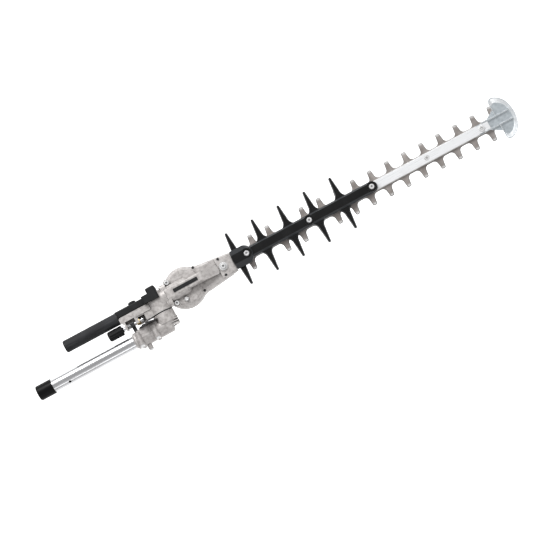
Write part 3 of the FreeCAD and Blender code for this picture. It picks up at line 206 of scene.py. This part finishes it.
def blade_steel():
    """Hardened blade: brown-grey rolled faces, brighter ground edges with lines across them."""
    made = Finish("blade_steel", metallic=0.55, specular=0.5)
    ground = made.sloped()
    flat = made.math("SUBTRACT", 1.0, ground)
    # Painted highlight: the flat faces near both ends of the blades are coloured near white.
    tip_highlight = made.math("MULTIPLY", flat, made.beyond("Y", BLADE_MIDDLE, 24.5 * MM, 30 * MM))
    rolled = made.grain(1200, 2, (0.03, 1, 1))
    across = made.grain(2600, 1, (1, 0.03, 0.2))
    stain = made.grain(70, 5)
    face = made.mix(made.remap(stain, 0.35, 0.7), (0.26, 0.235, 0.22), (0.37, 0.34, 0.325))
    edge = made.mix(made.remap(across, 0.3, 0.7), (0.17, 0.16, 0.155), (0.30, 0.285, 0.275))
    base = made.mix(tip_highlight, made.mix(ground, face, edge), (0.80, 0.80, 0.80))
    made.colour(made.mix(made.math("MULTIPLY", made.worn_and_highlit_edges(0.25 * MM), 0.3), base, (0.70, 0.70, 0.70)))
    rough = made.math("ADD", made.remap(stain, 0.3, 0.7, 0.30, 0.42), made.math("MULTIPLY", ground, -0.09))
    made.roughness(rough)
    made.relief(rolled, 0.03 * MM, 0.35)
    made.relief(across, 0.02 * MM, 0.3)
    return made.material


def zinc_sheet():
    """Pressed zinc plated sheet: bluish, with faint crystals and scratches from use."""
    made = Finish("shoe_zinc", metallic=0.7, specular=0.5)
    crystal = made.cells(190)
    scratch = made.grain(420, 4, (0.15, 1, 1))
    base = made.mix(made.remap(crystal, 0.1, 0.8), (0.44, 0.485, 0.515), (0.50, 0.545, 0.575))
    base = made.mix(made.remap(scratch, 0.58, 0.72, 0.0, 0.4), base, (0.40, 0.43, 0.46))
    # Painted highlight: the sloped walls of the pressing are coloured near white.
    base = made.mix(made.math("MULTIPLY", made.sloped(0.98, 0.85), 0.85), base, (0.90, 0.91, 0.92))
    made.colour(made.mix(made.math("MULTIPLY", made.worn_and_highlit_edges(0.8 * MM), 0.8), base, (0.92, 0.94, 0.96)))
    made.roughness(made.remap(made.math("ADD", crystal, scratch), 0.3, 1.3, 0.26, 0.42))
    made.relief(scratch, 0.05 * MM, 0.3)
    made.relief(crystal, 0.03 * MM, 0.08)
    return made.material


def plain_steel(name, low, high, roughness, lines=(1, 1, 1)):
    """Turned or ground steel with fine lines and a slight oil film."""
    made = Finish(name, metallic=0.7)
    line = made.grain(2200, 2, lines)
    film = made.grain(90, 4)
    base = made.mix(made.remap(film, 0.35, 0.7), low, high)
    base = made.mix(made.math("MULTIPLY", made.worn_and_highlit_edges(0.3 * MM), 0.45), base, (0.88, 0.88, 0.88))
    # Painted shade: sockets and hollows within 3 mm are coloured near black.
    made.colour(made.mix(made.painted_recess_shade(3 * MM), base, (0.012, 0.011, 0.010)))
    made.roughness(made.remap(made.math("ADD", line, film), 0.6, 1.4, roughness, roughness + 0.16))
    made.relief(line, 0.02 * MM, 0.4)
    return made.material


def moulded_black(name, shade, roughness, texture_scale, depth, scuff=0.5, slope_highlight=0.0, specular=0.3):
    """Black moulding with an eroded surface texture, paler where hands and twigs rub it, with painted
    highlights on its sloped faces and edges.
    """
    made = Finish(name, specular=specular)
    texture = made.grain(texture_scale, 3)
    rub = made.grain(55, 5)
    dark = tuple(channel * shade for channel in (0.95, 0.98, 1.05))
    pale = tuple(channel * shade * 2.1 for channel in (0.95, 1.0, 1.06))
    base = made.mix(made.remap(rub, 0.42, 0.78, 0.0, scuff), dark, pale)
    # Painted highlight: sloped faces are coloured paler, by the given amount.
    base = made.mix(made.math("MULTIPLY", made.sloped(0.97, 0.75), slope_highlight), base, (0.045, 0.048, 0.053))
    # Edges painted pale, partly as wear and partly as painted highlight.
    edge = made.math("MULTIPLY", made.worn_and_highlit_edges(0.7 * MM), 0.5)
    made.colour(made.mix(edge, base, tuple(0.01 + channel * shade * 3.6 for channel in (1.0, 1.02, 1.06))))
    made.roughness(made.remap(made.math("ADD", texture, rub), 0.6, 1.4, roughness, roughness + 0.2))
    made.relief(texture, depth, 0.5)
    return made.material


def grip_rubber():
    """Matt rubber sleeve: dusty, with a fine lengthwise flow and a pimpled skin."""
    made = Finish("grip_rubber", specular=0.25)
    skin = made.cells(1300)
    flow = made.grain(260, 4, (0.12, 1, 1))
    dust = made.grain(34, 5)
    base = made.mix(made.remap(dust, 0.38, 0.75), (0.011, 0.0115, 0.013), (0.030, 0.031, 0.034))
    base = made.mix(made.remap(flow, 0.5, 0.75, 0.0, 0.4), base, (0.055, 0.056, 0.058))
    made.colour(made.mix(made.math("MULTIPLY", made.worn_and_highlit_edges(1.0 * MM), 0.4), base, (0.075, 0.076, 0.08)))
    made.roughness(made.remap(made.math("ADD", dust, flow), 0.6, 1.4, 0.56, 0.80))
    made.relief(skin, 0.10 * MM, 0.4)
    made.relief(flow, 0.08 * MM, 0.25)
    return made.material


def black_oxide():
    """Blackened steel, rubbed to bare metal along its edges."""
    made = Finish("black_oxide", metallic=0.6, specular=0.5)
    film = made.grain(110, 5)
    base = made.mix(made.remap(film, 0.35, 0.7), (0.022, 0.022, 0.024), (0.055, 0.054, 0.054))
    made.colour(made.mix(made.math("MULTIPLY", made.worn_and_highlit_edges(0.35 * MM), 0.6), base, (0.32, 0.31, 0.30)))
    made.roughness(made.remap(film, 0.3, 0.7, 0.30, 0.48))
    made.relief(made.grain(1500, 2), 0.03 * MM, 0.35)
    return made.material


def brass():
    """Turned brass with a light tarnish."""
    made = Finish("latch_brass", metallic=1.0)
    tarnish = made.grain(240, 4)
    line = made.grain(2400, 2, (1, 0.05, 0.05))
    made.colour(made.mix(made.remap(tarnish, 0.4, 0.72), (0.80, 0.62, 0.30), (0.50, 0.36, 0.16)))
    made.roughness(made.remap(tarnish, 0.3, 0.7, 0.20, 0.38))
    made.relief(line, 0.02 * MM, 0.4)
    return made.material


def nylon():
    """Natural nylon, slightly waxy."""
    made = Finish("nylon", specular=0.45)
    cloud = made.grain(80, 4)
    made.colour(made.mix(made.remap(cloud, 0.35, 0.7), (0.66, 0.63, 0.54), (0.78, 0.76, 0.68)))
    made.roughness(made.remap(cloud, 0.3, 0.7, 0.38, 0.55))
    made.relief(made.grain(900, 2), 0.04 * MM, 0.3)
    return made.material


FINISHES = {
    "polished_tube": polished_tube(),
    "nylon": nylon(),
    "cap_plastic": moulded_black("cap_plastic", 0.003, 0.30, 1100, 0.08 * MM, 0.35, specular=0.12),
    "cast_aluminium": cast_aluminium(),
    "screw_steel": plain_steel("screw_steel", (0.78, 0.78, 0.785), (0.90, 0.90, 0.90), 0.22),
    "black_steel": black_oxide(),
    "bearing_steel": plain_steel("bearing_steel", (0.50, 0.51, 0.53), (0.64, 0.65, 0.66), 0.18),
    "seal_rubber": moulded_black("seal_rubber", 0.012, 0.50, 900, 0.05 * MM),
    "shaft_steel": plain_steel("shaft_steel", (0.48, 0.48, 0.49), (0.66, 0.66, 0.67), 0.16, (1, 0.05, 0.05)),
    "gear_steel": plain_steel("gear_steel", (0.30, 0.29, 0.28), (0.46, 0.45, 0.43), 0.26),
    "spring_steel": plain_steel("spring_steel", (0.45, 0.45, 0.46), (0.62, 0.62, 0.62), 0.22),
    "black_paint": moulded_black("black_paint", 0.009, 0.38, 1300, 0.10 * MM, 0.6, specular=0.2),
    "grip_rubber": grip_rubber(),
    "knob_plastic": moulded_black("knob_plastic", 0.004, 0.36, 1200, 0.06 * MM, 0.5, specular=0.15),
    "latch_brass": brass(),
    "plate_black": moulded_black("plate_black", 0.010, 0.28, 1600, 0.02 * MM, 0.3),
    "bar_aluminium": bar_aluminium(),
    "strip_steel": plain_steel("strip_steel", (0.46, 0.45, 0.44), (0.60, 0.59, 0.58), 0.30, (0.02, 1, 1)),
    "blade_steel": blade_steel(),
    "guard_plastic": moulded_black("guard_plastic", 0.003, 0.30, 1500, 0.12 * MM, 0.45, 0.7, 0.2),
    "shoe_zinc": zinc_sheet(),
}

# Rounding of a piece's sharp edges, in metres, by finish; a finish not named here keeps its edges crisp.
EDGE_ROUND = {
    "cast_aluminium": 0.7 * MM,
    "black_paint": 0.7 * MM,
    "guard_plastic": 0.5 * MM,
    "bar_aluminium": 0.25 * MM,
    "shoe_zinc": 0.25 * MM,
    "screw_steel": 0.15 * MM,
    "black_steel": 0.2 * MM,
    "latch_brass": 0.15 * MM,
    "blade_steel": 0.12 * MM,
}


# Pieces whose look differs from their slot's own finish: small screws sunk in holes, painted black as the
# shade of their holes.
SHADE_DARKENED_PIECES = {"head_case_screws": "black_steel"}


SHARP_ANGLE = math.radians(32)


def soften(piece, width):
    """Rounds the edges between a piece's faces and shades it smoothly."""
    weld = piece.modifiers.new("weld", "WELD")
    weld.merge_threshold = 0.001 * MM
    bevel = piece.modifiers.new("round", "BEVEL")
    bevel.width = width
    bevel.segments = 2
    bevel.limit_method = "ANGLE"
    bevel.angle_limit = SHARP_ANGLE
    shade = piece.modifiers.new("shade", "WEIGHTED_NORMAL")
    shade.weight = 80


def dress(record):
    """Gives every CAD piece its finish, and rounds the edges of those whose finish is named in EDGE_ROUND.
    """
    for entry in record["subparts"]:
        piece = parts[entry["node"]]
        slot = SHADE_DARKENED_PIECES.get(entry["node"], entry["material_slot"])
        piece.data.materials.clear()
        piece.data.materials.append(FINISHES[slot])
        if slot in EDGE_ROUND:
            soften(piece, EDGE_ROUND[slot])


def latch_coil():
    """The latch spring, as a copy of its CAD piece's mesh; the CAD piece is hidden."""
    solid = parts["latch_spring"]
    made = bpy.data.objects.new("latch_coil", solid.data.copy())
    scene.collection.objects.link(made)
    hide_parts("latch_spring")
    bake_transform(made)


dress(frame["record"])
latch_coil()


# --- studio ---
FLOOR_GLOW = 0.50
# The floor lies this far below the object, so the cutter bar clears it when the head is tilted right down.
FLOOR_DROP = 0.52
FLOOR_HALF = 40.0
KEY_POWER = 52.0
KEY_PLACE = Vector((-0.3, 1.5, 1.5))
KEY_SIZE = (2.2, 0.9)
FILL_POWER = 7.0
FILL_PLACE = Vector((0.3, -1.7, 1.0))
FILL_SIZE = (2.2, 0.6)
SKY_STRENGTH = 0.66
# Brightness of the surroundings by height, from the horizon at 0 to straight up at 1.
SKY = [(0.0, 0.30), (0.10, 1.0), (0.75, 1.0), (0.95, 0.80)]


def floor():
    """A plain pale floor below the object."""
    mesh = bpy.data.meshes.new("studio_floor")
    corners = [(-FLOOR_HALF, -FLOOR_HALF), (FLOOR_HALF, -FLOOR_HALF),
               (FLOOR_HALF, FLOOR_HALF), (-FLOOR_HALF, FLOOR_HALF)]
    level = cad_low.z - FLOOR_DROP
    mesh.from_pydata([(x, y, level) for x, y in corners], [], [(0, 1, 2, 3)])
    made = bpy.data.objects.new("studio_floor", mesh)
    scene.collection.objects.link(made)
    paper = Finish("studio_paper", specular=0.1)
    paper.colour(paper.mix(paper.remap(paper.grain(3, 2), 0.3, 0.7), (0.87, 0.87, 0.87), (0.89, 0.89, 0.89)))
    paper.shader.inputs["Roughness"].default_value = 0.9
    paper.shader.inputs["Emission Color"].default_value = (1, 1, 1, 1)
    paper.shader.inputs["Emission Strength"].default_value = FLOOR_GLOW
    mesh.materials.append(paper.material)


def area_light(name, place, target, size, power):
    light = bpy.data.lights.new(name, "AREA")
    light.shape = "RECTANGLE"
    light.size, light.size_y = size
    light.energy = power
    made = bpy.data.objects.new(name, light)
    scene.collection.objects.link(made)
    made.location = place
    made.rotation_euler = (target - place).to_track_quat("-Z", "Y").to_euler()


def studio_light():
    """A bright room with a dim horizon, a broad key light on the grip's side and a weaker fill opposite."""
    middle = (cad_low + cad_high) / 2
    area_light("key", middle + KEY_PLACE, middle, KEY_SIZE, KEY_POWER)
    area_light("fill", middle + FILL_PLACE, middle, FILL_SIZE, FILL_POWER)
    world = bpy.data.worlds.new("studio")
    world.use_nodes = True
    scene.world = world
    tree = world.node_tree
    spot = node(tree, "TexCoord").outputs["Generated"]
    height = node(tree, "SeparateXYZ", {"Vector": spot}).outputs["Z"]
    ramp = node(tree, "ValToRGB", {"Fac": height})
    stops = ramp.color_ramp.elements
    stops[0].position, stops[0].color = SKY[0][0], (*[SKY[0][1]] * 3, 1)
    stops[1].position, stops[1].color = SKY[-1][0], (*[SKY[-1][1]] * 3, 1)
    for place, level in SKY[1:-1]:
        stops.new(place).color = (level, level, level, 1)
    tree.links.new(ramp.outputs["Color"], tree.nodes["Background"].inputs["Color"])
    tree.nodes["Background"].inputs["Strength"].default_value = SKY_STRENGTH
    scene.view_settings.view_transform = "Standard"


# The camera looks down on the blades, a little from the pole's side, with the bar running up to the right.
# HALF_VIEW is half the width in view at the distance of the point aimed at.
AIM = Vector((0.4668, -0.0001, 0.0))
DISTANCE = 3.5
ELEVATION = math.radians(82)
ROLL = math.radians(28.17)
HALF_VIEW = 0.4833


def camera():
    lens = bpy.data.cameras.new("camera")
    lens.angle = 2 * math.atan(HALF_VIEW / DISTANCE)
    lens.clip_end = 3 * FLOOR_HALF
    made = bpy.data.objects.new("camera", lens)
    scene.collection.objects.link(made)
    back = Vector((0, -math.cos(ELEVATION), math.sin(ELEVATION)))
    along = Vector((1, 0, 0))
    across = back.cross(along)
    right = along * math.cos(ROLL) - across * math.sin(ROLL)
    up = along * math.sin(ROLL) + across * math.cos(ROLL)
    turn = Matrix((right, up, back)).transposed()
    made.matrix_world = Matrix.Translation(AIM + back * DISTANCE) @ turn.to_4x4()
    scene.camera = made


floor()
studio_light()
camera()
